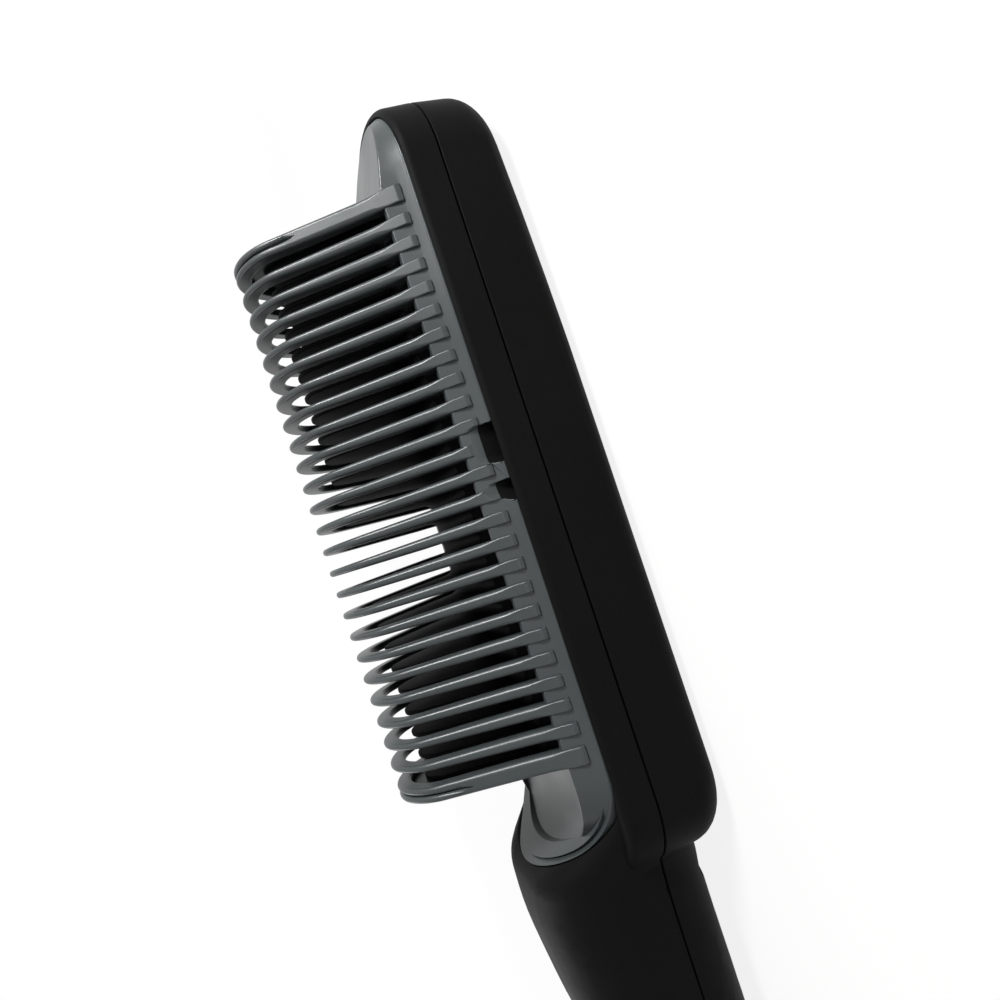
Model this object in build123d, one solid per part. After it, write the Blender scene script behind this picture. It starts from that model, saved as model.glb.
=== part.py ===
from build123d import *
from math import acos, atan2, cos, hypot, pi, sin
import os

# Hair straightening brush, in millimetres. It is drawn with x = 0 at the middle slat of the comb
# guard, y = 0 in its plane of symmetry and z = 0 at the rim of its head. The last lines move it, so
# that it lies on its back with +X towards the tip of the head, +Z the way the slats point and the
# origin under the middle of its length.

# Housing
wall = 2.2                  # wall of both housing halves
front_wall = 2.0            # ledge under the guard
parting_z = -6.1            # plane in which the two halves meet
parting_gap = 0.3           # fine groove that shows between them
tongue_height = 1.4         # locating tongue of the rear half
tongue_clearance = 0.1

# Head
head_tip = 69.9
head_end = 74.3             # reach of its lower end the other way
head_corner_x = (53.1, 57.9)    # centres of the corner arcs at the tip and at the lower end
head_corner = 14.0
head_half_width = 23.2
front_draft = 0.4           # the front half narrows towards the rim by this much
rim_radius = 1.5
head_depth = 19.4           # rim to the flat of the back
tip_depth = 17.5            # rim to the back at the tip
land_end = 5.0              # from here on the back rises towards the tip
back_radius = 5.8

# Neck and handle: centre distance, height of the front above the rim, half width, corner radius
neck_sections = (
    (-50.0, -2.0, 20.5, 6.0),
    (-56.0, -0.3, 21.6, 5.0),
    (-60.0, 2.7, 21.2, 5.5),
    (-63.0, 5.4, 20.2, 6.5),
    (-66.0, 9.6, 18.6, 9.0),
    (-68.5, 12.6, 17.3, 10.5),
    (-72.0, 13.8, 16.3, 11.5),
    (-79.0, 13.9, 15.7, 12.0),
    (-86.0, 13.1, 15.5, 12.0),
    (-93.0, 12.1, 15.5, 12.0),
    (-100.0, 10.8, 15.5, 12.0),
    (-107.0, 9.8, 15.5, 12.0),
)
handle_start = -114.0       # from here on the handle is straight
handle_length = 87.1        # of the straight part
handle_front = 9.6
handle_back = -17.3
handle_half_width = 15.5
handle_corner = 12.0

# Guard: plan outline and section of its banks
guard_half_width = 22.0
guard_tip = 67.6            # reach of each end from the middle slat
guard_corner_x = 51.8       # centres of the corner arcs
guard_corner = 14.0
guard_gap = 0.2             # fine gap to the housing
guard_seat_depth = 1.5      # flange below the rim
lip_height = 1.5
lip_inset = 1.0
lip_root = 0.3              # the lip's outer face starts this far below the rim
bank_height = 4.8
bank_inset = 2.3
bank_thickness = 1.5
ramp_start = 48.3           # the lower end climbs the neck from here to its tip
ramp_height = 12.2
ramp_power = 3.3
ramp_lip = 1.0
end_slope_high = 4.6        # sloped face of the upper end
end_slope_low = 0.4
dish_inset = 2.7
dish_points = ((-48.8, 4.2), (-53.0, 3.7), (-58.0, 3.6), (-61.5, 4.3), (-64.5, 6.6), (-68.0, 12.0))

# Slats
slat_count = 25
slat_pitch = 3.9
slat_crest = 29.6
crest_radius = 11.4
kink_y = 17.45
kink_z = 9.2
root_y = 21.2
root_z = 2.6
slat_rib_half_width = 21.3
slat_band = 2.7
slat_root_thickness = 2.0
slat_crest_thickness = 1.1
end_wall_face = 2.0         # outer face of an end wall beyond the end slat's centre
end_wall_thickness = 1.2

# Scallop of the rim, on both sides: two notches with a tab between them, each with the radii of its
# lower and its upper inner corner
notches = ((0.8, 7.4, 1.6, 1.2), (-6.2, -2.2, 3.4, 0.5))
notch_depth = 1.7

# Heating comb
fin_gap = 2.4               # between a fin and its slat
fin_thickness = 1.0
fin_crest_thickness = 0.8
comb_top = 5.5              # floor between the fins
comb_shoulder = 1.5
comb_top_half_width = 14.6
comb_side_gap = 0.4
comb_end_gap = 0.3
comb_flange_overlap = 1.6
comb_flange_thickness = 2.0

# Heater stack below the comb
strip_end_gap = 3.2         # end of a strip to the end of the comb's flange
strip_width = 8.0
strip_centre_y = 6.5
strip_thickness = 1.2
mica_thickness = 0.4
mica_half_width = 12.0
clamp_thickness = 1.0
clamp_half_width = 11.5
clamp_ear = 8.0
clamp_bend_run = 1.6
clamp_slot_half_width = 5.2
sensor_x = 12.0
sensor_length = 5.0
fuse_x = -14.0
fuse_radius = 1.9
fuse_length = 11.0
fuse_lead_radius = 0.4
lead_radius = 0.55
lead_y = 3.8
lead_bend = 7.0
lead_drop_x = (-60.0, -72.0, -84.0)     # where the leads leave the head and reach the board
lead_rise = 2.0
lead_overlap = 4.0

# Screws
screw_radius = 1.3
screw_head_radius = 2.5
screw_head_height = 1.5
screw_clearance = 0.2
pilot_clearance = 0.02
housing_screw_length = 12.0
boss_radius = 3.6
post_radius = 3.0
counterbore_clearance = 0.4
tip_screw = (62.0, -14.8)   # place along the part and height of the seat
neck_screws = (-77.5, 8.0, -11.0)
end_screws = (11.1, 8.6, -11.0)         # measured from the handle's end
guard_screw_bite = 3.2
guard_screw_x = 54.5
guard_screw_y = 8.5

# Board and what it carries
board_start = -86.0
board_end_gap = 17.1        # handle's end to the board
board_half_width = 11.2
board_thickness = 1.6
board_support = 6.0         # ribs and posts this far in from the board's ends
support_y = 8.5
support_radius = 2.0
support_rib = 1.8
controller_place = 14.0     # places of what the board carries, from its neck end
controller_side = 9.0
controller_height = 1.6
switch_side = 6.0
switch_height = 3.5
switch_pin_radius = 1.75
switch_pin_height = 1.0
lamp_radius = 1.5
lamp_height = 5.2
lamp_bevel = 0.6
triac_place = 18.0
triac_size = (15.0, 10.0, 4.4)
capacitor_place = 40.0
capacitor_size = (17.0, 7.0, 9.2)
varistor_place = 60.0
varistor_radius = 4.4
varistor_thickness = 3.6

# Control panel, buttons and lights, with their places from the board's far end
panel_place = 36.0
panel_length = 68.0
panel_width = 17.0
panel_proud = 0.3
panel_sunk = 1.3
panel_gap = 0.15
power_place = 9.5
minus_place = 21.0
plus_place = 31.5
power_radius = 4.2
sign_radius = 3.6
button_proud = 0.9
button_travel = 0.6
button_bevel = 0.5
button_gap = 0.25
button_flange = 0.9
button_flange_top_gap = 0.3
plunger_radius = 1.5
plunger_rest_gap = 0.05
light_place = 64.0
light_pitch = 6.0
light_count = 5
pipe_radius = 1.1
pipe_gap = 0.15
guide_thickness = 3.4
guide_half_width = 2.5
guide_overhang = 2.0

# End cap and turning cord inlet
cap_length = 13.0
cap_end_radius = 3.0
spigot_length = 5.5
spigot_thickness = 1.6
spigot_clearance = 0.12
cap_room = 2.0              # free space behind the socket
gland_proud = 6.0
gland_radius = 5.5
gland_running_gap = 0.08
gland_nose_radius = 6.5
gland_bevel = 1.0
gland_flange_radius = 7.2
gland_flange_thickness = 1.6
gland_end_play = 0.2
cord_bore_radius = 3.1
cord_bore_length = 14.0
socket_radius = 8.5
socket_lip_radius = 9.6
socket_lip = 1.0
socket_length = 9.0
contact_core_radius = 4.0
contact_ring_radius = 4.7
contact_ring_width = 1.6
contact_core_length = 9.0
contact_shares = (0.3, 0.75)    # places of the rings along the core
contact_gap = 0.15
spring_thickness = 0.4
spring_width = 3.0
spring_foot = 5.0
spring_run = 1.5            # length over which a spring bends away from the board

# Places that follow from the sizes above
handle_end = handle_start - handle_length
cap_face_x = handle_end - cap_length
gland_face_x = cap_face_x - gland_proud
part_shift = Pos(-(head_tip + gland_face_x) / 2, 0, head_depth)
head_ends = ((head_tip, head_corner_x[0]), (head_end, head_corner_x[1]))
guard_ends = ((guard_tip, guard_corner_x), (guard_tip, guard_corner_x))
seat_z = -guard_seat_depth
ledge_z = seat_z - front_wall
slat_span = slat_pitch * (slat_count - 1) / 2
wall_face_x = slat_span + end_wall_face
wall_inner_x = wall_face_x - end_wall_thickness
bank_wall_y = guard_half_width - bank_inset - bank_thickness
comb_half_length = wall_inner_x - comb_end_gap
comb_half_width = bank_wall_y - comb_side_gap
flange_half_length = wall_inner_x + comb_flange_overlap
flange_half_width = bank_wall_y + comb_flange_overlap
comb_under_z = seat_z - comb_flange_thickness
strip_under_z = comb_under_z - strip_thickness
mica_under_z = strip_under_z - mica_thickness
clamp_under_z = mica_under_z - clamp_thickness
strip_half_length = flange_half_length - strip_end_gap
handle_axis_z = (handle_front + handle_back) / 2
handle_height = handle_front - handle_back
board_top_z = handle_axis_z + board_thickness / 2
board_under_z = handle_axis_z - board_thickness / 2
floor_under_z = handle_front - wall
panel_top_z = handle_front + panel_proud
board_end = handle_end + board_end_gap
board_support_x = (board_start - board_support, board_end + board_support)
panel_centre_x = board_end + panel_place
tall = 60.0                 # reach of cutting solids across the part
far = 300.0                 # and along it
slat_places = [slat_pitch * index - slat_span for index in range(slat_count)]
light_places = [board_end + light_place - light_pitch * index for index in range(light_count)]
buttons = {
    "power_button": (board_end + power_place, power_radius),
    "plus_button": (board_end + plus_place, sign_radius),
    "minus_button": (board_end + minus_place, sign_radius),
}
housing_screw_places = [(tip_screw[0], 0, tip_screw[1])]
for side in (1, -1):
    housing_screw_places.append((neck_screws[0], side * neck_screws[1], neck_screws[2]))
    housing_screw_places.append((handle_end + end_screws[0], side * end_screws[1], end_screws[2]))


# Prisms along the three axes

def along_x(face, start, end):
    """Extrude a face, drawn in y and z, from start to end along x."""
    return extrude(Plane.YZ.offset(start) * face, amount=end - start)


def along_y(face, half_width):
    """Extrude a face, drawn in x and z, to both sides of the plane of symmetry."""
    return extrude(Plane.XZ * face, amount=half_width, both=True)


def along_z(face, start, end):
    """Extrude a face, drawn in x and y, from start to end along z."""
    return extrude(Pos(0, 0, start) * face, amount=end - start)


def block(x_span, y_span, z_span):
    """A block given by its limits along x, y and z."""
    size = [span[1] - span[0] for span in (x_span, y_span, z_span)]
    middle = [(span[1] + span[0]) / 2 for span in (x_span, y_span, z_span)]
    return Pos(*middle) * Box(*size)


def pin(x, y, radius, start, end):
    """An upright cylinder from start to end along z."""
    return Pos(x, y, (start + end) / 2) * Cylinder(radius, end - start)


def turned(radius, start, end):
    """A cylinder about the axis of the handle, from start to end along x."""
    return along_x(Pos(0, handle_axis_z) * Circle(radius), start, end)


# Plan outlines of the head and the guard

def end_arcs(reach, corner_x, half_width, corner, inset):
    """Points of one rounded end: its side, the middle of its corner arc, where the arcs meet, its tip."""
    corner_y = half_width - corner
    gap = reach - corner_x
    tip_radius = (gap ** 2 + corner_y ** 2 - corner ** 2) / (2 * (gap - corner))
    tip_centre = reach - tip_radius
    turn = atan2(corner_y, corner_x - tip_centre)
    half_turn = (pi / 2 + turn) / 2
    return ((corner_x, half_width - inset),
            (corner_x + (corner - inset) * cos(half_turn), corner_y + (corner - inset) * sin(half_turn)),
            (tip_centre + (tip_radius - inset) * cos(turn), (tip_radius - inset) * sin(turn)),
            (reach - inset, 0))


def plan_outline(ends, half_width, corner, inset):
    """Outline with straight sides and ends of three tangent arcs, drawn in by inset."""
    edges = []
    corners = []
    for sign, (reach, corner_x) in zip((1, -1), ends):
        points = [(sign * x, y) for x, y in end_arcs(reach, corner_x, half_width, corner, inset)]
        side, middle, joint, tip = points
        low_side, low_middle, low_joint = [(x, -y) for x, y in points[:3]]
        edges.append(ThreePointArc(side, middle, joint))
        edges.append(ThreePointArc(joint, tip, low_joint))
        edges.append(ThreePointArc(low_joint, low_middle, low_side))
        corners.append((side, low_side))
    edges.append(Line(corners[0][0], corners[1][0]))
    edges.append(Line(corners[0][1], corners[1][1]))
    return make_face(Curve() + edges)


def head_outline(inset):
    """Plan outline of the head, drawn in by inset."""
    return plan_outline(head_ends, head_half_width, head_corner, inset)


def guard_outline(inset):
    """Plan outline of the guard, drawn in by inset."""
    return plan_outline(guard_ends, guard_half_width, guard_corner, inset)


# Housing, before it is split

def head_body(inset):
    """The deep part of the housing, drawn in on all sides by inset."""
    flat_z = inset - head_depth
    tip_z = inset - tip_depth
    below = Curve() + [
        Line((-far, flat_z), (land_end, flat_z)),
        TangentArc((land_end, flat_z), (head_tip, tip_z), tangent=(1, 0)),
        Polyline((head_tip, tip_z), (far, tip_z), (far, -tall), (-far, -tall), (-far, flat_z)),
    ]
    rear = along_z(head_outline(inset), flat_z, parting_z) - along_y(make_face(below), tall)
    loop = []
    for edge in rear.edges():
        box = edge.bounding_box()
        if box.max.Z < (parting_z + tip_z) / 2 and box.size.X > rim_radius:
            loop.append(edge)
    rear = fillet(loop, back_radius - inset)
    front = loft([Pos(0, 0, parting_z) * head_outline(inset), head_outline(inset + front_draft)],
                 ruled=True)
    return rear + fillet(front.edges().group_by(Axis.Z)[-1], rim_radius)


def handle_section(inset):
    """Section of the straight handle, drawn in by inset."""
    outline = RectangleRounded(2 * (handle_half_width - inset), handle_height - 2 * inset,
                               handle_corner - inset)
    return Pos(0, handle_axis_z) * outline


def neck_section(front, half_width, corner, inset):
    """Section of the neck, whose back stays level with the handle's."""
    height = front - handle_back - 2 * inset
    outline = RectangleRounded(2 * (half_width - inset), height, corner - inset)
    return Pos(0, (front + handle_back) / 2) * outline


def handle_body(inset, end):
    """Neck and handle as far as end, drawn in by inset."""
    sections = [Plane.YZ.offset(handle_start) * handle_section(inset)]
    for x, front, half_width, corner in reversed(neck_sections):
        sections.append(Plane.YZ.offset(x) * neck_section(front, half_width, corner, inset))
    return loft(sections) + along_x(handle_section(inset), end, handle_start)


def housing_body(inset, end):
    """Head, neck and handle in one, drawn in by inset."""
    return head_body(inset) + handle_body(inset, end)


# Guard

def above_ramp(rise):
    """Everything above the rim plane and the ramp of the lower end, both raised by rise."""
    shares = (0.0, 0.25, 0.45, 0.6, 0.75, 0.88, 1.0)
    length = guard_tip - ramp_start
    ramp = [(-ramp_start - length * share, ramp_height * share ** ramp_power + rise) for share in shares]
    slope = ramp_height * ramp_power / length
    last = (ramp[-1][0] - bank_inset, ramp[-1][1] + slope * bank_inset)
    outline = Curve() + [
        Line((far, rise), ramp[0]),
        Spline(*ramp, tangents=[(-1, 0), (-1, slope)]),
        Polyline(ramp[-1], last, (last[0], tall), (far, tall), (far, rise)),
    ]
    return along_y(make_face(outline), tall)


def arch_face(inset):
    """Outline of a slat, drawn in by inset and open downwards past the rim."""
    centre_z = slat_crest - crest_radius
    reach = hypot(kink_y, kink_z - centre_z)
    turn = atan2(kink_z - centre_z, kink_y) + acos(crest_radius / reach)
    tangent_y = crest_radius * cos(turn)
    tangent_z = centre_z + crest_radius * sin(turn)
    foot_z = -guard_half_width      # far enough below the rim for every use of this face
    foot_y = root_y + (root_y - kink_y) / (kink_z - root_z) * (root_z - foot_z)
    outline = Curve() + [
        Polyline((foot_y, foot_z), (kink_y, kink_z), (tangent_y, tangent_z)),
        ThreePointArc((tangent_y, tangent_z), (0, slat_crest), (-tangent_y, tangent_z)),
        Polyline((-tangent_y, tangent_z), (-kink_y, kink_z), (-foot_y, foot_z), (foot_y, foot_z)),
    ]
    face = make_face(outline)
    if inset > 0:
        face = offset(face, -inset, kind=Kind.INTERSECTION)
    return face


def above_level(face, half_width, level):
    """The part of a face in y and z that lies above level and within half_width."""
    window = Pos(0, level + tall / 2) * Rectangle(2 * half_width, tall)
    return face & window


def drafted(blade, thickness, crest_thickness, crest_z):
    """Thin a blade evenly from the kink of the slats to its crest."""
    half = thickness / 2
    crest_half = crest_thickness / 2
    wedge = make_face(Polyline((-half, -tall), (half, -tall), (half, kink_z), (crest_half, crest_z),
                               (-crest_half, crest_z), (-half, kink_z), close=True))
    return blade & along_y(wedge, tall)


def comb_guard():
    """Guard: flange, banks, end slopes, dish, slats and end walls in one moulding."""
    slab = along_z(guard_outline(0), seat_z, tall)
    flange = (slab & above_ramp(seat_z)) - above_ramp(0)
    lip = along_z(guard_outline(lip_inset), seat_z, tall) & above_ramp(seat_z)
    lip = lip - above_ramp(ramp_lip)
    edge = loft([Pos(0, 0, -lip_root) * guard_outline(0),
                 Pos(0, 0, lip_height) * guard_outline(lip_inset)], ruled=True)
    bank = loft([Pos(0, 0, lip_height) * guard_outline(lip_inset),
                 Pos(0, 0, bank_height) * guard_outline(bank_inset)], ruled=True)
    base = flange + lip + ((edge + bank) & above_ramp(seat_z))
    slope = make_face(Polyline((wall_face_x, end_slope_high), (guard_tip, end_slope_low),
                               (far, end_slope_low), (far, tall), (wall_face_x, tall), close=True))
    base = base - along_y(slope, tall)
    first, last = dish_points[0], dish_points[-1]
    dish_line = Curve() + [
        Spline(*dish_points),
        Polyline(last, (last[0], tall), (first[0], tall), first),
    ]
    base = base - (along_y(make_face(dish_line), tall) & along_z(guard_outline(dish_inset), 0, tall))
    base = base - block((-wall_inner_x, wall_inner_x), (-bank_wall_y, bank_wall_y), (-tall, tall))
    band = above_level(arch_face(0) - arch_face(slat_band), slat_rib_half_width, lip_height)
    half = slat_root_thickness / 2
    slat = drafted(along_x(band, -half, half), slat_root_thickness, slat_crest_thickness, slat_crest)
    web = above_level(arch_face(0), slat_rib_half_width, lip_height)
    pieces = [Pos(x, 0, 0) * slat for x in slat_places]
    pieces.append(along_x(web, wall_inner_x, wall_face_x))
    pieces.append(along_x(web, -wall_face_x, -wall_inner_x))
    guard = base + pieces
    cuts = []
    for start, end, low_radius, high_radius in notches:
        face = Pos((start + end) / 2, guard_half_width) * Rectangle(end - start, 2 * notch_depth)
        inner = face.vertices().group_by(Axis.Y)[0].sort_by(Axis.X)
        face = fillet(inner[0], low_radius)
        face = fillet(face.vertices().group_by(Axis.Y)[0].sort_by(Axis.X)[-1], high_radius)
        cut = along_z(face, seat_z, bank_height)
        cuts += [cut, mirror(cut, about=Plane.XZ)]
    for x in (-guard_screw_x, guard_screw_x):
        for y in (-guard_screw_y, guard_screw_y):
            cuts.append(pin(x, y, screw_radius + pilot_clearance, seat_z, seat_z + guard_screw_bite))
    return guard - cuts


def heating_comb():
    """Heating plate with a flange, a shouldered block and one fin inside each slat, with round
    bottoms to the gaps between the fins."""
    flange = block((-flange_half_length, flange_half_length), (-flange_half_width, flange_half_width),
                   (comb_under_z, seat_z))
    gap_radius = (slat_pitch - fin_thickness) / 2
    top = comb_top + gap_radius
    section = make_face(Polyline((-comb_half_width, comb_under_z), (comb_half_width, comb_under_z),
                                 (comb_half_width, comb_shoulder), (comb_top_half_width, comb_top),
                                 (comb_top_half_width, top), (-comb_top_half_width, top),
                                 (-comb_top_half_width, comb_top), (-comb_half_width, comb_shoulder),
                                 close=True))
    body = flange + along_x(section, -comb_half_length, comb_half_length)
    gaps = [along_y(Pos(x + slat_pitch / 2, top) * Circle(gap_radius), tall) for x in slat_places[:-1]]
    beyond = slat_span + fin_thickness / 2
    gaps.append(block((beyond, far), (-tall, tall), (comb_top, tall)))
    gaps.append(block((-far, -beyond), (-tall, tall), (comb_top, tall)))
    body = body - gaps
    face = above_level(arch_face(slat_band + fin_gap), comb_top_half_width, comb_shoulder)
    half = fin_thickness / 2
    fin_crest = slat_crest - slat_band - fin_gap
    fin = drafted(along_x(face, -half, half), fin_thickness, fin_crest_thickness, fin_crest)
    return body + [Pos(x, 0, 0) * fin for x in slat_places]


# Heater stack

def heater_strip(side):
    """One flat ceramic strip against the underside of the comb."""
    centre = side * strip_centre_y
    return block((-strip_half_length, strip_half_length),
                 (centre - strip_width / 2, centre + strip_width / 2), (strip_under_z, comb_under_z))


def insulation_sheet():
    """Mica sheet between the strips and the clamp."""
    half = strip_half_length
    return block((-half, half), (-mica_half_width, mica_half_width), (mica_under_z, strip_under_z))


def heater_clamp():
    """Bent steel plate that presses the strips up, with two ears and a slot for the leads."""
    middle_z = (mica_under_z + clamp_under_z) / 2
    ear_z = ledge_z - clamp_thickness / 2
    bend = flange_half_length + comb_flange_overlap
    ear_end = bend + clamp_ear
    flat_end = bend - clamp_bend_run
    path = Polyline((-ear_end, ear_z), (-bend, ear_z), (-flat_end, middle_z), (flat_end, middle_z),
                    (bend, ear_z), (ear_end, ear_z))
    plate = along_y(trace(path, clamp_thickness), clamp_half_width)
    slot = block((-far, -strip_half_length), (-clamp_slot_half_width, clamp_slot_half_width),
                 (-tall, tall))
    holes = []
    for x in (-guard_screw_x, guard_screw_x):
        for y in (-guard_screw_y, guard_screw_y):
            holes.append(pin(x, y, screw_radius + screw_clearance, -tall, tall))
    return plate - ([slot] + holes)


def thermistor():
    """Bead sensor between the two strips."""
    radius = strip_thickness / 2
    bead = Rot(0, 90, 0) * Cylinder(radius, sensor_length)
    return Pos(sensor_x, 0, comb_under_z - radius) * bead


def thermal_fuse():
    """Cut-off fuse lying on the clamp, with its two lead ends."""
    z = clamp_under_z - fuse_radius
    barrel = Pos(fuse_x, 0, z) * Rot(0, 90, 0) * Cylinder(fuse_radius, fuse_length)
    leads = Pos(fuse_x, 0, z) * Rot(0, 90, 0) * Cylinder(fuse_lead_radius, 2 * fuse_length)
    return barrel + leads


def heater_leads():
    """Pair of insulated leads from the strips to the front of the board."""
    start_z = comb_under_z - lead_radius
    end_z = board_top_z + lead_radius
    leads = []
    for side in (-1, 1):
        y = side * lead_y
        points = [(-strip_half_length, y, start_z), (lead_drop_x[0], y, start_z),
                  (lead_drop_x[1], y, end_z + lead_rise), (lead_drop_x[2], y, end_z),
                  (board_start - lead_overlap, y, end_z)]
        route = FilletPolyline(*points, radius=lead_bend)
        profile = Plane(origin=points[0], z_dir=(-1, 0, 0)) * Circle(lead_radius)
        leads.append(sweep(profile, path=route))
    return leads


# Screws

def screw(x, y, seat, length):
    """Self-tapping screw that points up from its seat, with its head below."""
    shank = pin(x, y, screw_radius, seat, seat + length)
    return shank + pin(x, y, screw_head_radius, seat - screw_head_height, seat)


def housing_screws():
    """Screws that pull the rear half to the front half."""
    return [screw(x, y, seat, housing_screw_length) for x, y, seat in housing_screw_places]


def guard_screws():
    """Screws through the clamp's ears and the ledge into the guard."""
    seat = ledge_z - clamp_thickness
    length = clamp_thickness + front_wall + guard_screw_bite - screw_clearance
    return [screw(x, y, seat, length) for x in (-guard_screw_x, guard_screw_x)
            for y in (-guard_screw_y, guard_screw_y)]


# Housing halves

def opening_for_guard():
    """What the front half leaves free for the guard and the heating comb."""
    recess = along_z(guard_outline(-guard_gap), seat_z, tall) & above_ramp(seat_z)
    half_length = flange_half_length + guard_gap
    half_width = flange_half_width + guard_gap
    window = block((-half_length, half_length), (-half_width, half_width), (-tall, tall))
    holes = []
    for x in (-guard_screw_x, guard_screw_x):
        for y in (-guard_screw_y, guard_screw_y):
            holes.append(pin(x, y, screw_radius + screw_clearance, -tall, tall))
    return [recess, window] + holes


def panel_face(gap):
    """Plan outline of the control panel, widened by gap."""
    return Pos(panel_centre_x, 0) * SlotOverall(panel_length + 2 * gap, panel_width + 2 * gap)


def panel_skin(outer, inner, gap):
    """Layer of the handle's front between two insets, within the panel's outline."""
    ring = handle_section(-outer) - handle_section(inner)
    half = panel_length / 2 + panel_width
    layer = along_x(ring, panel_centre_x - half, panel_centre_x + half)
    return layer & along_z(panel_face(gap), handle_axis_z, tall)


def button_holes():
    """Holes for the caps and the light pipes."""
    holes = [pin(x, 0, radius + button_gap, handle_axis_z, tall) for x, radius in buttons.values()]
    holes += [pin(x, 0, pipe_radius + pipe_gap, handle_axis_z, tall) for x in light_places]
    return holes


def front_shell(outer, middle, cavity):
    """Front half: walls, screw posts, board posts, and the openings in its front."""
    shell = (outer - cavity) & block((-far, far), (-tall, tall), (parting_z, tall))
    screw_posts = [pin(x, y, post_radius, parting_z, tall) for x, y, seat in housing_screw_places]
    board_posts = []
    for x in board_support_x:
        for y in (-support_y, support_y):
            board_posts.append(pin(x, y, support_radius, board_top_z, tall))
    shell = shell + [post & middle for post in screw_posts + board_posts]
    pilots = []
    for x, y, seat in housing_screw_places:
        pilots.append(pin(x, y, screw_radius + pilot_clearance, parting_z,
                          seat + housing_screw_length + screw_clearance))
    rebate_top = parting_z + tongue_height + tongue_clearance
    rebate = middle & block((-far, far), (-tall, tall), (parting_z, rebate_top))
    shell = shell - (rebate - screw_posts)
    pocket = panel_skin(panel_width, panel_sunk, panel_gap)
    return shell - (pilots + opening_for_guard() + [pocket] + button_holes())


def rear_shell(outer, middle, cavity):
    """Rear half: walls, locating tongue, screw bosses and the ribs under the board."""
    edge = parting_z - parting_gap
    shell = (outer - cavity) & block((-far, far), (-tall, tall), (-tall, edge))
    tongue = (middle - cavity) & block((-far, far), (-tall, tall), (edge, parting_z + tongue_height))
    bosses = [pin(x, y, boss_radius, -tall, parting_z) for x, y, seat in housing_screw_places]
    shell = shell + [tongue] + [boss & middle for boss in bosses]
    ribs = []
    for x in board_support_x:
        ribs.append(block((x - support_rib / 2, x + support_rib / 2),
                          (-board_half_width, board_half_width), (-tall, board_under_z)))
    shell = shell + [rib & middle for rib in ribs]
    bores = []
    for x, y, seat in housing_screw_places:
        bores.append(pin(x, y, screw_head_radius + counterbore_clearance, -tall, seat))
        bores.append(pin(x, y, screw_radius + screw_clearance, -tall, parting_z + tongue_height))
    return shell - bores


# Board and what it carries

def control_board():
    """Circuit board clamped between the posts of one half and the ribs of the other."""
    return block((board_end, board_start), (-board_half_width, board_half_width),
                 (board_under_z, board_top_z))


def microcontroller():
    """Square controller package on the board's front."""
    half = controller_side / 2
    x = board_start - controller_place
    return block((x - half, x + half), (-half, half), (board_top_z, board_top_z + controller_height))


def triac():
    """Heater switch lying on the board's back."""
    length, width, height = triac_size
    x = board_start - triac_place
    return block((x - length / 2, x + length / 2), (-width / 2, width / 2),
                 (board_under_z - height, board_under_z))


def filter_capacitor():
    """Box capacitor on the board's back."""
    length, width, height = capacitor_size
    x = board_start - capacitor_place
    return block((x - length / 2, x + length / 2), (-width / 2, width / 2),
                 (board_under_z - height, board_under_z))


def varistor():
    """Disc varistor standing on the board's back."""
    place = Pos(board_start - varistor_place, 0, board_under_z - varistor_radius)
    return place * Rot(0, 90, 0) * Cylinder(varistor_radius, varistor_thickness)


def tact_switches():
    """One small switch under each button."""
    switches = []
    for x, radius in buttons.values():
        half = switch_side / 2
        top = board_top_z + switch_height
        body = block((x - half, x + half), (-half, half), (board_top_z, top))
        switches.append(body + pin(x, 0, switch_pin_radius, top, top + switch_pin_height))
    return switches


def indicator_lamps():
    """Small round lamps in a row under the light guide."""
    lamps = []
    for x in light_places:
        lamp = pin(x, 0, lamp_radius, board_top_z, board_top_z + lamp_height)
        lamps.append(chamfer(lamp.edges().group_by(Axis.Z)[-1], lamp_bevel))
    return lamps


def light_guide():
    """Clear bar under the front wall, with one pipe to the panel's face for each lamp."""
    bar = block((light_places[-1] - guide_overhang, light_places[0] + guide_overhang),
                (-guide_half_width, guide_half_width), (floor_under_z - guide_thickness, floor_under_z))
    return bar + [pin(x, 0, pipe_radius, floor_under_z, panel_top_z) for x in light_places]


def control_panel():
    """Glossy skin set into the front of the handle."""
    return panel_skin(panel_proud, panel_sunk, 0) - button_holes()


def push_button(x, radius):
    """Cap with a retaining flange and a plunger that reaches its switch."""
    top = panel_top_z + button_proud
    flange_top = floor_under_z - button_flange_top_gap
    flange_under = flange_top - button_flange
    switch_top = board_top_z + switch_height + switch_pin_height
    cap = pin(x, 0, radius, flange_under, top)
    cap = chamfer(cap.edges().group_by(Axis.Z)[-1], button_bevel)
    flange = pin(x, 0, radius + button_flange, flange_under, flange_top)
    plunger = pin(x, 0, plunger_radius, switch_top + button_travel + plunger_rest_gap, flange_under)
    return cap + flange + plunger


# End cap and turning cord inlet

def end_cap():
    """Cap on the end of the handle, with a spigot inside the housing and a bore for the socket."""
    body = along_x(handle_section(0), cap_face_x, handle_end)
    body = fillet(body.edges().group_by(Axis.X)[0], cap_end_radius)
    outer = handle_section(wall + spigot_clearance)
    inner = handle_section(wall + spigot_clearance + spigot_thickness)
    spigot = along_x(outer - inner, handle_end, handle_end + spigot_length)
    depth = cap_face_x + socket_length
    room = along_x(inner, depth + cap_room, handle_end)
    step = turned(socket_radius, depth, depth + cap_room)
    bore = turned(socket_radius, cap_face_x, depth)
    return (body + spigot) - [room, step, bore]


def swivel_socket():
    """Fixed collar in which the gland turns."""
    collar = turned(socket_radius, cap_face_x, cap_face_x + socket_length)
    lip = turned(socket_lip_radius, cap_face_x - socket_lip, cap_face_x)
    bore = turned(gland_radius + gland_running_gap, cap_face_x - socket_lip, cap_face_x + socket_length)
    return (collar + lip) - bore


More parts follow.
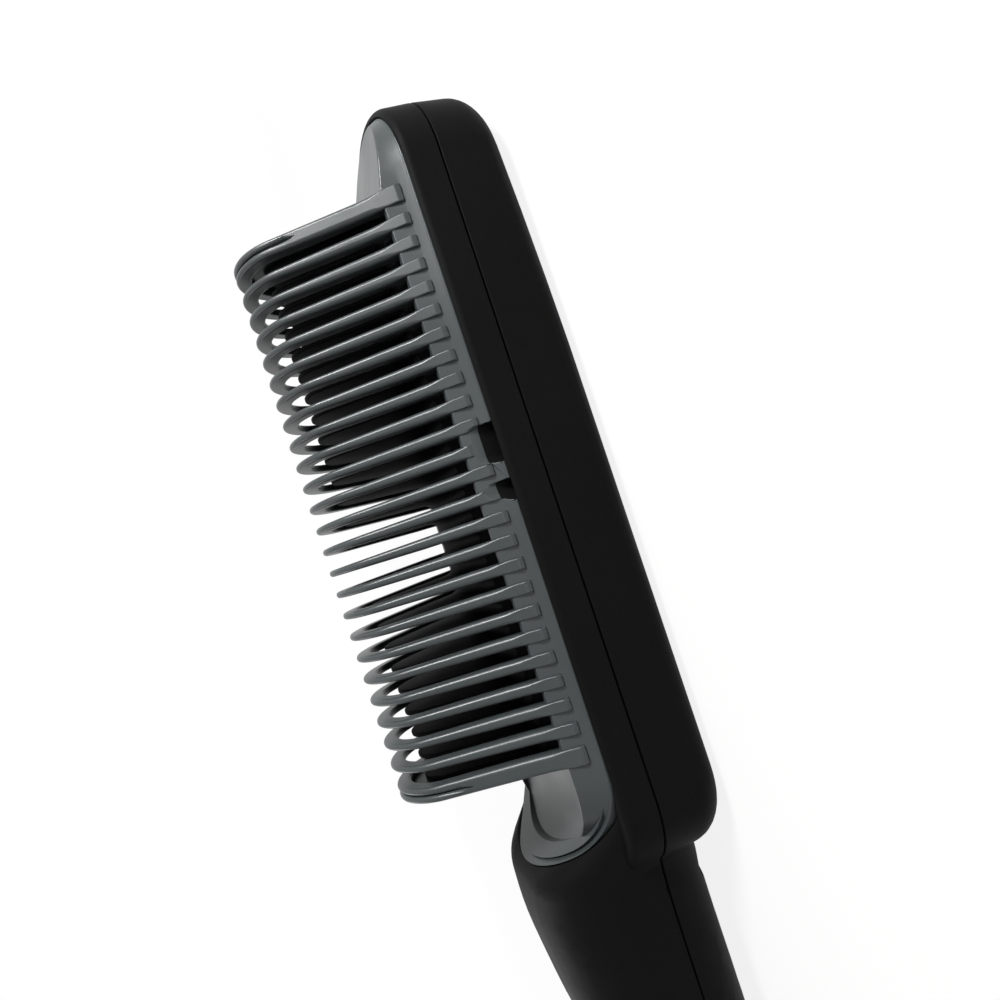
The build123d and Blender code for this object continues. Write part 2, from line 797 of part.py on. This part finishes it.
def swivel_gland():
    """Turning cord inlet: nose, neck, retaining flange and the bore that takes the cord."""
    nose_end = cap_face_x - socket_lip - gland_end_play
    neck_end = cap_face_x + socket_length + gland_end_play
    nose = turned(gland_nose_radius, gland_face_x, nose_end)
    nose = chamfer(nose.edges().group_by(Axis.X)[0], gland_bevel)
    neck = turned(gland_radius, nose_end, neck_end)
    flange = turned(gland_flange_radius, neck_end, neck_end + gland_flange_thickness)
    bore = turned(cord_bore_radius, gland_face_x, gland_face_x + cord_bore_length)
    return (nose + neck + flange) - bore


def contact_start():
    """Where the contact core begins, on the inner face of the gland."""
    return cap_face_x + socket_length + gland_end_play + gland_flange_thickness


def contact_rings_x():
    """Places of the two rings on the core."""
    return [contact_start() + contact_core_length * share for share in contact_shares]


def contact_ring():
    """Core on the gland's inner end with two slip rings."""
    start = contact_start()
    core = turned(contact_core_radius, start, start + contact_core_length)
    half = contact_ring_width / 2
    return core + [turned(contact_ring_radius, x - half, x + half) for x in contact_rings_x()]


def contact_springs():
    """Two leaf springs from the board's end to the slip rings."""
    half = spring_thickness / 2
    foot_z = board_thickness / 2 + half
    arm_z = contact_ring_radius + contact_gap + half
    springs = []
    for side, x in zip((1, -1), contact_rings_x()):
        path = Polyline((board_end + spring_foot, foot_z * side), (board_end, foot_z * side),
                        (board_end - spring_run, arm_z * side), (x, arm_z * side))
        leaf = along_y(trace(path, spring_thickness), spring_width / 2)
        springs.append(Pos(0, 0, handle_axis_z) * leaf)
    return springs


# Build, move to the part's own frame and write

def build():
    """All pieces by name, each a shape or a list of identical shapes."""
    outer = housing_body(0, handle_end)
    middle = housing_body(wall / 2, handle_end)
    cavity = housing_body(wall, handle_end) - above_ramp(ledge_z)
    pieces = {
        "front_shell": front_shell(outer, middle, cavity),
        "rear_shell": rear_shell(outer, middle, cavity),
        "comb_guard": comb_guard(),
        "heating_comb": heating_comb(),
        "heater_strip_left": heater_strip(1),
        "heater_strip_right": heater_strip(-1),
        "insulation_sheet": insulation_sheet(),
        "heater_clamp": heater_clamp(),
        "thermistor": thermistor(),
        "thermal_fuse": thermal_fuse(),
        "heater_leads": heater_leads(),
        "control_board": control_board(),
        "microcontroller": microcontroller(),
        "triac": triac(),
        "filter_capacitor": filter_capacitor(),
        "varistor": varistor(),
        "tact_switches": tact_switches(),
        "indicator_lamps": indicator_lamps(),
        "light_guide": light_guide(),
        "control_panel": control_panel(),
        "end_cap": end_cap(),
        "swivel_socket": swivel_socket(),
        "swivel_gland": swivel_gland(),
        "contact_ring": contact_ring(),
        "contact_springs": contact_springs(),
        "housing_screws": housing_screws(),
        "guard_screws": guard_screws(),
    }
    for name, (x, radius) in buttons.items():
        pieces[name] = push_button(x, radius)
    return pieces


os.makedirs("parts", exist_ok=True)
for name, piece in build().items():
    items = piece if isinstance(piece, list) else [piece]
    solids = [solid.moved(part_shift) for item in items for solid in item.solids()]
    export_step(Compound(solids), "parts/" + name + ".step")
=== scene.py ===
from math import radians, sqrt

import bmesh
import bpy
from mathutils import Matrix, Vector


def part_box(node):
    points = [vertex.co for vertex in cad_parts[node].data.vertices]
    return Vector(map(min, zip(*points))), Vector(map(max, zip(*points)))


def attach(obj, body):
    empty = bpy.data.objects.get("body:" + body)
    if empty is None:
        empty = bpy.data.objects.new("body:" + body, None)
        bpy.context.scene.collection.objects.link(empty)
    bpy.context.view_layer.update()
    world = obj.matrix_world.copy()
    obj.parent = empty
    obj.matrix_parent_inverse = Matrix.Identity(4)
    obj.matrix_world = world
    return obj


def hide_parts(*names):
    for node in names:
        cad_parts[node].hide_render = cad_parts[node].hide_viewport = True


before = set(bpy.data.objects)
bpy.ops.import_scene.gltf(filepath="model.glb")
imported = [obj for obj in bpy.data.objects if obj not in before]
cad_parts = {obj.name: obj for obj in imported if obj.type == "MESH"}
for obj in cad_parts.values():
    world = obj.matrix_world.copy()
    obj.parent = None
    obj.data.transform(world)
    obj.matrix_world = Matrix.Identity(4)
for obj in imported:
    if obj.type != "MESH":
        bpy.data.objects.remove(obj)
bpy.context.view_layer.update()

# Camera. A phone's main camera, held level with the comb and about 13 cm from it, with the brush
# turned so that its slats point to the left of the picture. Place and turn were solved from the
# lines of the slats.
camera_place = Vector((0.06653, -0.12732, 0.05488))
camera_right = Vector((-0.31278, -0.27507, -0.90912))
camera_down = Vector((-0.94929, 0.12263, 0.28949))
camera_ahead = Vector((0.03185, 0.95357, -0.29948))
photo_width = 1000
focal_pixels = 700
sensor_width = 36.0
nearest_shown, farthest_shown = 0.005, 50.0
lens = bpy.data.cameras.new("photo_camera")
lens.sensor_fit = "HORIZONTAL"
lens.sensor_width = sensor_width
lens.lens = sensor_width * focal_pixels / photo_width
lens.clip_start = nearest_shown
lens.clip_end = farthest_shown
camera = bpy.data.objects.new("photo_camera", lens)
bpy.context.scene.collection.objects.link(camera)
turn = Matrix((camera_right, -camera_down, -camera_ahead)).transposed().to_4x4()
camera.matrix_world = Matrix.Translation(camera_place) @ turn
bpy.context.scene.camera = camera


# Housing halves. Two injection-moulded shells of black ABS that meet in a fine groove and are
# screwed together from the back. Their moulded edges are slightly rounded.
def linear(code):
    """An sRGB hex colour as linear red, green, blue and alpha, by the standard's curve."""
    shares = [int(code[place:place + 2], 16) / 255 for place in (1, 3, 5)]
    return [share / 12.92 if share <= 0.04045 else ((share + 0.055) / 1.055) ** 2.4
            for share in shares] + [1.0]


def add_node(tree, kind, settings=None, inputs=None):
    """Add a node with its settings. An input, given by its name or number, is a number, a colour
    or another node's output."""
    node = tree.nodes.new(kind)
    for name, value in (settings or {}).items():
        setattr(node, name, value)
    for name, value in (inputs or {}).items():
        if isinstance(value, bpy.types.NodeSocket):
            tree.links.new(value, node.inputs[name])
        else:
            node.inputs[name].default_value = value
    return node


def surface(name, dark, light, roughness, grain_mm, grain_depth_mm, shader_inputs=None):
    """A material whose colour, from dark to light, and roughness drift a little over the piece,
    with a fine grain. A Mix node's sockets share their names, so its colours go by number."""
    drift_mm = 18
    dark_socket, light_socket, mixed_socket = 6, 7, 2
    material = bpy.data.materials.new(name)
    material.use_nodes = True
    tree = material.node_tree
    shader = tree.nodes["Principled BSDF"]
    place = add_node(tree, "ShaderNodeTexCoord").outputs["Object"]
    drift = add_node(tree, "ShaderNodeTexNoise", inputs={
        "Vector": place, "Scale": 1000 / drift_mm, "Detail": 3.0, "Roughness": 0.5})
    tint = add_node(tree, "ShaderNodeMix", {"data_type": "RGBA"}, {
        "Factor": drift.outputs["Fac"], dark_socket: linear(dark), light_socket: linear(light)})
    gloss = add_node(tree, "ShaderNodeMapRange", inputs={
        "Value": drift.outputs["Fac"], "From Min": 0.3, "From Max": 0.7,
        "To Min": roughness[0], "To Max": roughness[1]})
    grain = add_node(tree, "ShaderNodeTexNoise", inputs={
        "Vector": place, "Scale": 1000 / grain_mm, "Detail": 2.0, "Roughness": 0.6})
    bump = add_node(tree, "ShaderNodeBump", inputs={
        "Height": grain.outputs["Fac"], "Strength": 0.5, "Distance": grain_depth_mm / 1000})
    tree.links.new(tint.outputs[mixed_socket], shader.inputs["Base Color"])
    tree.links.new(gloss.outputs["Result"], shader.inputs["Roughness"])
    tree.links.new(bump.outputs["Normal"], shader.inputs["Normal"])
    for socket, value in (shader_inputs or {}).items():
        shader.inputs[socket].default_value = value
    return material


def paint(node, material):
    """Give a CAD node its material."""
    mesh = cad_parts[node].data
    mesh.materials.clear()
    mesh.materials.append(material)


def softened(node, body, material, radius_mm, segments, radius_share=lambda place: 1.0):
    """Stand in for a CAD node with a copy whose outer edges are rounded. radius_share gives the
    part of the full radius that an edge gets, from the place of its middle. An edge along which
    it changes is cut into shorter ones. Lengths are in metres, unless their name says mm."""
    same_place = 2e-6
    flat_angle = radians(0.6)
    sliver_length = 5e-5
    sharp_angle = radians(28)
    share_step = 0.05
    shortest_cut = 0.0015
    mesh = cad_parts[node].data.copy()
    # The CAD's own normals belong to its loose triangles, and joining those would misplace them.
    mesh.attributes.remove(mesh.attributes["custom_normal"])
    work = bmesh.new()
    work.from_mesh(mesh)
    bmesh.ops.remove_doubles(work, verts=work.verts, dist=same_place)
    bmesh.ops.dissolve_limit(work, angle_limit=flat_angle, verts=work.verts, edges=work.edges)
    bmesh.ops.remove_doubles(work, verts=work.verts, dist=sliver_length)
    for face in work.faces:
        face.smooth = True
    for edge in work.edges:
        edge.smooth = True
    rounded = work.edges.layers.float.new("bevel_weight_edge")
    sharp = [edge for edge in work.edges
             if edge.is_manifold and edge.calc_face_angle() > sharp_angle]
    for edge in sharp:
        edge.smooth = edge.is_convex
    outer = [edge for edge in sharp if edge.is_convex]
    while outer:
        halves = []
        for edge in outer:
            start, end = (vert.co for vert in edge.verts)
            edge[rounded] = radius_share((start + end) / 2)
            change = abs(radius_share(start) - radius_share(end))
            if change > share_step and edge.calc_length() > shortest_cut:
                other_half = bmesh.utils.edge_split(edge, edge.verts[0], 0.5)[0]
                halves += [edge, other_half]
        outer = halves
    work.to_mesh(mesh)
    work.free()
    mesh.materials.clear()
    mesh.materials.append(material)
    piece = bpy.data.objects.new(node + "_moulding", mesh)
    bpy.context.scene.collection.objects.link(piece)
    rounding = piece.modifiers.new("rounded_edges", "BEVEL")
    rounding.width = radius_mm / 1000
    rounding.segments = segments
    rounding.limit_method = "WEIGHT"
    rounding.profile = 0.5
    rounding.use_clamp_overlap = False
    rounding.harden_normals = True
    rounding.miter_outer = "MITER_ARC"
    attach(piece, body)
    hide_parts(node)
    return piece


# Black ABS from a spark-eroded mould: nearly black and dull, and it mirrors next to nothing. The
# real grain, about 0.1 mm, is too fine to show, so it is drawn coarser.
black_abs = surface("spark_eroded_black_abs", "#080908", "#0d0e0d", roughness=(0.5, 0.6),
                    grain_mm=0.35, grain_depth_mm=0.03,
                    shader_inputs={"IOR": 1.46, "Specular IOR Level": 0.045})

# The shells are shaded evenly over their large faces, so that no dark crease shows beside a
# rounded edge.
for shell in ("front_shell", "rear_shell"):
    piece = softened(shell, "brush", black_abs, radius_mm=0.2, segments=3)
    piece.modifiers["rounded_edges"].harden_normals = False
    shading = piece.modifiers.new("even_shading", "WEIGHTED_NORMAL")
    shading.keep_sharp = True


# Comb guard. One injection moulding of dark bluish-grey nylon that stands the heat, with 25 arched
# slats. Their edges are well rounded so that hair slides over them, those of the rim less.

# Glass-filled nylon is satin: soft highlights run along the slats. Its grain is drawn coarser.
guard_nylon = surface("glass_filled_nylon", "#2b2f30", "#373c3d", roughness=(0.30, 0.40),
                      grain_mm=0.5, grain_depth_mm=0.02,
                      shader_inputs={"IOR": 1.53, "Specular IOR Level": 0.3})
bank_height = 0.0063
full_round_height = 0.0090
ramp_length = 0.0185
guard_low, guard_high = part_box("comb_guard")
bank_top = guard_low.z + bank_height
full_round_level = guard_low.z + full_round_height
ramp_end = guard_low.x + ramp_length
slat_radius_mm = 0.82
crest_radius_share = 0.62
rim_radius_share = 0.3
ramp_radius_share = 0.1


def slat_share(place):
    """The slats have the full radius at their root, nearly half their thickness, and less towards
    their thinner crest. The rim, the banks and the ramp that climbs the neck have less."""
    if place.x < ramp_end:
        return ramp_radius_share
    if place.z < full_round_level:
        risen = max(0.0, (place.z - bank_top) / (full_round_level - bank_top))
        return rim_radius_share + (1.0 - rim_radius_share) * risen
    towards_crest = (place.z - full_round_level) / (guard_high.z - full_round_level)
    return 1.0 + (crest_radius_share - 1.0) * towards_crest


moulding = softened("comb_guard", "brush", guard_nylon, radius_mm=slat_radius_mm,
                    segments=4, radius_share=slat_share)

# The lower part of the walls of the scallop's two notches is painted black, as painted shade in
# the notches. The notches' spans run along the brush, from the middle of the scallop.
scallop_middle = (guard_low.x + guard_high.x) / 2
notch_spans = ((0.0006, 0.0076), (-0.0064, -0.0020))
notch_depth = 0.0019
notch_floor = guard_high.y - notch_depth
painted_shade_height = 0.0033
painted_shade_top = guard_low.z + painted_shade_height
upright_limit = 0.3
cut_tolerance = 1e-6


def in_notch(face):
    """Whether a face is one of the upright walls of a notch."""
    middle = face.calc_center_median()
    along = middle.x - scallop_middle
    inside = any(start < along < end for start, end in notch_spans)
    upright = abs(face.normal.z) < upright_limit and middle.z < bank_top
    return inside and upright and abs(middle.y) > notch_floor


work = bmesh.new()
work.from_mesh(moulding.data)
walls = [face for face in work.faces if in_notch(face)]
wall_edges = dict.fromkeys(edge for face in walls for edge in face.edges)
wall_corners = dict.fromkeys(vert for face in walls for vert in face.verts)
bmesh.ops.bisect_plane(work, geom=[*walls, *wall_edges, *wall_corners], dist=cut_tolerance,
                       plane_co=(0, 0, painted_shade_top), plane_no=(0, 0, 1))
# The guard's own walls in the notches take the black ABS below this height: painted shade.
for face in work.faces:
    if in_notch(face) and face.calc_center_median().z < painted_shade_top:
        face.material_index = 1
work.to_mesh(moulding.data)
work.free()
moulding.data.materials.append(black_abs)


# Heating comb. Die-cast aluminium with a thin black ceramic coat, fired on after machining. The
# guard's screws pass through its plate into the housing's ledges.

# The fired coat is a deep, dull black. Its grain is drawn coarser than the real one.
coated_aluminium = surface("ceramic_coated_aluminium", "#030304", "#060607",
                           roughness=(0.58, 0.68), grain_mm=0.3, grain_depth_mm=0.01,
                           shader_inputs={"IOR": 1.5, "Specular IOR Level": 0.06})
softened("heating_comb", "brush", coated_aluminium, radius_mm=0.2, segments=2)


# Heater stack, hidden in the head: ceramic strips on the plate, a mica sheet, a spring-steel clamp
# that the guard's screws hold, a bead sensor, a fuse in a drawn can and two sleeved leads.

# Unglazed alumina is chalky white, pressed mica a pale brown sheet with darker flakes.
ceramic = surface("unglazed_alumina", "#dcd8cc", "#e8e4da", roughness=(0.55, 0.7),
                  grain_mm=0.2, grain_depth_mm=0.01)
mica = surface("pressed_mica", "#9c8a66", "#c2ac80", roughness=(0.35, 0.5),
               grain_mm=1.5, grain_depth_mm=0.02)
# Rolled spring steel has a soft grey sheen, the tinned can a warmer one. The bead is clear amber.
spring_steel = surface("rolled_spring_steel", "#8f9092", "#a6a7a9", roughness=(0.25, 0.38),
                       grain_mm=0.4, grain_depth_mm=0.01, shader_inputs={"Metallic": 1.0})
drawn_can = surface("drawn_tinned_can", "#b5b0a2", "#c8c3b6", roughness=(0.2, 0.3),
                    grain_mm=0.5, grain_depth_mm=0.01, shader_inputs={"Metallic": 1.0})
bead_glass = surface("bead_glass", "#c9a26a", "#d8b27c", roughness=(0.05, 0.12),
                     grain_mm=1.0, grain_depth_mm=0.0, shader_inputs={"Transmission Weight": 0.6})
# Silicone sleeves are off-white and dull.
silicone = surface("silicone_sleeve", "#d8d6cf", "#e2e0da", roughness=(0.5, 0.62),
                   grain_mm=0.4, grain_depth_mm=0.01)
heater_stack = {
    "heater_strip_left": ceramic,
    "heater_strip_right": ceramic,
    "insulation_sheet": mica,
    "heater_clamp": spring_steel,
    "thermistor": bead_glass,
    "thermal_fuse": drawn_can,
    "heater_leads": silicone,
}
for node, material in heater_stack.items():
    paint(node, material)


# Control board, hidden in the handle. Glass-epoxy under a green lacquer, with the switches, the
# lamps and the power parts soldered to both faces.

# The lacquer is shiny, moulded epoxy dull and dark grey. The capacitor's box and the varistor's
# dipped coat are bright and a little shiny, and the lamps' lenses are milky.
solder_resist = surface("green_solder_resist", "#0f4a22", "#15602d", roughness=(0.25, 0.35),
                        grain_mm=0.6, grain_depth_mm=0.01)
moulded_epoxy = surface("moulded_epoxy", "#18181a", "#222224", roughness=(0.5, 0.62),
                        grain_mm=0.15, grain_depth_mm=0.01)
capacitor_box = surface("polyester_box", "#c79a1e", "#d8ab2c", roughness=(0.3, 0.4),
                        grain_mm=0.5, grain_depth_mm=0.01)
varistor_coat = surface("dipped_epoxy", "#1d3f78", "#27508f", roughness=(0.22, 0.34),
                        grain_mm=0.8, grain_depth_mm=0.02)
diffused_lens = surface("diffused_epoxy_lens", "#e4e6ea", "#f2f4f6", roughness=(0.25, 0.35),
                        grain_mm=0.6, grain_depth_mm=0.0,
                        shader_inputs={"Transmission Weight": 0.3})
board_parts = {
    "control_board": solder_resist,
    "microcontroller": moulded_epoxy,
    "triac": moulded_epoxy,
    "filter_capacitor": capacitor_box,
    "varistor": varistor_coat,
    "tact_switches": moulded_epoxy,
    "indicator_lamps": diffused_lens,
}
for node, material in board_parts.items():
    paint(node, material)


# Control panel and light guide. A moulded ABS skin, let into the front shell, and behind it a
# clear acrylic strip with five short pipes that reach through the skin.

# Both come from polished moulds: the black skin mirrors sharply, and the acrylic is clear.
gloss_abs = surface("gloss_black_abs", "#0c0c0e", "#101012", roughness=(0.08, 0.14),
                    grain_mm=2.0, grain_depth_mm=0.005, shader_inputs={"IOR": 1.5})
clear_acrylic = surface("clear_acrylic", "#e6ebee", "#f0f3f5", roughness=(0.04, 0.1),
                        grain_mm=2.0, grain_depth_mm=0.0,
                        shader_inputs={"Transmission Weight": 0.85, "IOR": 1.49})
paint("control_panel", gloss_abs)
paint("light_guide", clear_acrylic)


# Printed temperatures. One number beside each light pipe, screen-printed on the panel's rounded
# face. The pale grey ink is dull, and thick enough to stand a little proud.
print_ink = surface("pale_screen_ink", "#b9bcbf", "#c6c9cc", roughness=(0.5, 0.6),
                    grain_mm=0.1, grain_depth_mm=0.0)
panel_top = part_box("control_panel")[1].z
panel_flat_half_width = 0.0035
panel_turn_radius = 0.0123
ink_thickness = 0.00003


def on_panel(across):
    """Height of the panel's face at a distance from the plane of symmetry."""
    past = max(0.0, abs(across) - panel_flat_half_width)
    return panel_top - panel_turn_radius + sqrt(panel_turn_radius ** 2 - past ** 2)


def finished_mark(name, work, body, material, height):
    """Turn a flat mark, drawn with its up along +Y, so that it reads with the head on top, lay it
    on the surface that height gives, and give it its thickness."""
    for vert in work.verts:
        right, up = vert.co.x, vert.co.y
        vert.co = (up, -right, height(-right))
    bmesh.ops.recalc_face_normals(work, faces=work.faces)
    if work.faces[0].normal.z < 0:
        bmesh.ops.reverse_faces(work, faces=work.faces)
    raised = bmesh.ops.extrude_face_region(work, geom=work.faces[:])
    moved = [part for part in raised["geom"] if isinstance(part, bmesh.types.BMVert)]
    bmesh.ops.translate(work, verts=moved, vec=(0, 0, ink_thickness))
    bmesh.ops.recalc_face_normals(work, faces=work.faces)
    mesh = bpy.data.meshes.new(name)
    work.to_mesh(mesh)
    work.free()
    mesh.materials.append(material)
    piece = bpy.data.objects.new(name, mesh)
    bpy.context.scene.collection.objects.link(piece)
    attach(piece, body)


numeral_height = 0.0024
numeral_across = 0.0047
outline_weld = 1e-7
lowest_temperature = 150
temperature_step = 20
pipe_count = 5
pipe_overhang = 0.002
guide_low, guide_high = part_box("light_guide")
first_pipe = guide_low.x + pipe_overhang
pipe_pitch = (guide_high.x - guide_low.x - 2 * pipe_overhang) / (pipe_count - 1)
for index in range(pipe_count):
    numeral = str(lowest_temperature + temperature_step * index)
    letters = bpy.data.curves.new("numeral", "FONT")
    letters.body = numeral
    letters.size = numeral_height
    letters.align_x = "CENTER"
    letters.align_y = "CENTER"
    writing = bpy.data.objects.new("numeral", letters)
    work = bmesh.new()
    work.from_mesh(bpy.data.meshes.new_from_object(writing))
    bmesh.ops.remove_doubles(work, verts=work.verts, dist=outline_weld)
    bmesh.ops.translate(work, verts=work.verts,
                        vec=(numeral_across, first_pipe + index * pipe_pitch, 0))
    finished_mark("temperature_" + numeral, work, "brush", print_ink, on_panel)
    bpy.data.objects.remove(writing)


# Buttons. Three injection-moulded caps of dark grey ABS that slide in the panel's holes, each with
# its sign printed on top.

# Their satin is a little lighter and shinier than the housing.
button_abs = surface("satin_button_abs", "#26282a", "#2d2f31", roughness=(0.36, 0.44),
                     grain_mm=0.3, grain_depth_mm=0.015, shader_inputs={"IOR": 1.5})
sign_stroke = 0.0005
sign_reach = 0.0013
half_gap_degrees = 35
ring_turn = radians(360 - 2 * half_gap_degrees)
ring_steps = 28
power_bar_middle = sign_reach * 0.75
power_bar_length = sign_reach * 1.2


def bar(work, middle, across, along):
    """Add a flat bar of the given width and length to a mark."""
    unit_square = bmesh.ops.create_grid(work, x_segments=1, y_segments=1, size=0.5)["verts"]
    bmesh.ops.scale(work, verts=unit_square, vec=(across, along, 1))
    bmesh.ops.translate(work, verts=unit_square, vec=(middle[0], middle[1], 0))


for button in ("power", "plus", "minus"):
    node = button + "_button"
    paint(node, button_abs)
    low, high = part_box(node)
    work = bmesh.new()
    if button == "power":
        # A ring with a gap at its top, where the bar goes in.
        start = bmesh.ops.create_vert(work, co=(0, sign_reach - sign_stroke / 2, 0))["vert"][0]
        end = bmesh.ops.create_vert(work, co=(0, sign_reach + sign_stroke / 2, 0))["vert"][0]
        line = work.edges.new((start, end))
        bmesh.ops.rotate(work, verts=[start, end], cent=(0, 0, 0),
                         matrix=Matrix.Rotation(radians(half_gap_degrees), 3, "Z"))
        bmesh.ops.spin(work, geom=[start, end, line], cent=(0, 0, 0), axis=(0, 0, 1),
                       angle=ring_turn, steps=ring_steps, use_merge=False)
        bar(work, (0, power_bar_middle), sign_stroke, power_bar_length)
    else:
        bar(work, (0, 0), 2 * sign_reach, sign_stroke)
    if button == "plus":
        # The upright is two short bars, so that nothing lies twice over the middle.
        reach = sign_reach - sign_stroke / 2
        for side in (-1, 1):
            bar(work, (0, side * (sign_stroke + reach) / 2), sign_stroke, reach)
    bmesh.ops.translate(work, verts=work.verts, vec=(0, (low.x + high.x) / 2, 0))
    finished_mark(button + "_sign", work, button + "_key", print_ink,
                  lambda across: high.z)


# End cap and cord inlet. The cap and its collar are moulded of the housing's ABS, the turning
# gland of a rubber-like elastomer. Its slip ring and springs are stamped brass.

# The elastomer is black and has hardly any shine, the brass a soft yellow sheen.
gland_rubber = surface("moulded_elastomer", "#151516", "#1b1b1d", roughness=(0.55, 0.68),
                       grain_mm=0.4, grain_depth_mm=0.02)
contact_brass = surface("contact_brass", "#c49a4c", "#d6ad62", roughness=(0.2, 0.32),
                        grain_mm=0.5, grain_depth_mm=0.005, shader_inputs={"Metallic": 1.0})
inlet_parts = {
    "end_cap": black_abs,
    "swivel_socket": black_abs,
    "swivel_gland": gland_rubber,
    "contact_ring": contact_brass,
    "contact_springs": contact_brass,
}
for node, material in inlet_parts.items():
    paint(node, material)


# Screws. Self-tapping steel screws, cold-headed and zinc-plated. Five hold the housing halves
# together from the back, four hold the guard, the plate and the clamp.

# Zinc plate has a bluish-grey shine.
zinc_plate = surface("zinc_plated_steel", "#8d8f92", "#a2a4a7", roughness=(0.25, 0.36),
                     grain_mm=0.4, grain_depth_mm=0.01, shader_inputs={"Metallic": 1.0})
for node in ("housing_screws", "guard_screws"):
    paint(node, zinc_plate)


# Studio. A pale, matt floor that keeps the brush's shadow, under four soft boxes in a white room.
# The small one beyond the tip is the strongest: it draws the highlights along the slats.
def looked_at(tree):
    """1 for a ray from the camera, from a gloss or through glass, 0 for one that only lights."""
    path = add_node(tree, "ShaderNodeLightPath")
    seen = path.outputs["Is Camera Ray"]
    for ray in ("Is Glossy Ray", "Is Transmission Ray"):
        seen = add_node(tree, "ShaderNodeMath", {"operation": "MAXIMUM"},
                        {0: seen, 1: path.outputs[ray]}).outputs[0]
    return seen


def lamp(name, place, target, size, power):
    """A square soft box that faces its target."""
    light = bpy.data.lights.new(name, "AREA")
    light.shape = "SQUARE"
    light.size = size
    light.energy = power
    box = bpy.data.objects.new(name, light)
    bpy.context.scene.collection.objects.link(box)
    box.location = place
    box.rotation_euler = (Vector(target) - Vector(place)).to_track_quat("-Z", "Y").to_euler()


floor_half_side = 6.0
floor_level = -0.0002
floor_shape = bmesh.new()
bmesh.ops.create_grid(floor_shape, x_segments=1, y_segments=1, size=floor_half_side)
floor_mesh = bpy.data.meshes.new("floor")
floor_shape.to_mesh(floor_mesh)
floor_shape.free()
floor = bpy.data.objects.new("floor", floor_mesh)
bpy.context.scene.collection.objects.link(floor)
floor.location.z = floor_level

# The floor is nearly white where it is looked at, and wholly so from 45 cm on.
floor_paint = bpy.data.materials.new("pale_floor")
floor_paint.use_nodes = True
tree = floor_paint.node_tree
matt_paint = tree.nodes["Principled BSDF"]
matt_paint.inputs["Base Color"].default_value = linear("#ececea")
matt_paint.inputs["Roughness"].default_value = 0.9
distance = add_node(tree, "ShaderNodeVectorMath", {"operation": "LENGTH"},
                    {0: add_node(tree, "ShaderNodeTexCoord").outputs["Object"]})
whiteness = add_node(tree, "ShaderNodeMapRange", inputs={
    "Value": distance.outputs["Value"], "From Min": 0.1, "From Max": 0.45,
    "To Min": 0.86, "To Max": 1.0})
white_share = add_node(tree, "ShaderNodeMath", {"operation": "MULTIPLY"},
                       {0: whiteness.outputs["Result"], 1: looked_at(tree)})
white = add_node(tree, "ShaderNodeEmission", inputs={"Strength": 1.0})
mixed = add_node(tree, "ShaderNodeMixShader", inputs={
    "Fac": white_share.outputs[0], 1: matt_paint.outputs["BSDF"], 2: white.outputs["Emission"]})
tree.links.new(mixed.outputs["Shader"], tree.nodes["Material Output"].inputs["Surface"])
floor_mesh.materials.append(floor_paint)

lamp("tip_side_softbox", place=(0.36, -0.17, 0.27), target=(0.10, 0, 0.03), size=0.10, power=2.9)
lamp("overhead_softbox", place=(0.10, -0.05, 0.70), target=(0.05, 0, 0.03), size=0.5, power=0.5)
lamp("near_fill", place=(0.10, -0.55, 0.15), target=(0.08, 0, 0.02), size=0.3, power=0.3)
lamp("far_handle_side_fill", place=(-0.40, 0.35, 0.40), target=(0, 0, 0.02), size=0.3, power=0.9)

# The room is white where it is looked at, and lights the brush weakly.
world = bpy.data.worlds.new("studio")
bpy.context.scene.world = world
world.use_nodes = True
room = world.node_tree
room_light = room.nodes["Background"]
room_light.inputs["Color"].default_value = linear("#ffffff")
level = add_node(room, "ShaderNodeMapRange", inputs={
    "Value": looked_at(room), "To Min": 0.22, "To Max": 1.0})
room.links.new(level.outputs["Result"], room_light.inputs["Strength"])
bpy.context.scene.view_settings.view_transform = "Standard"
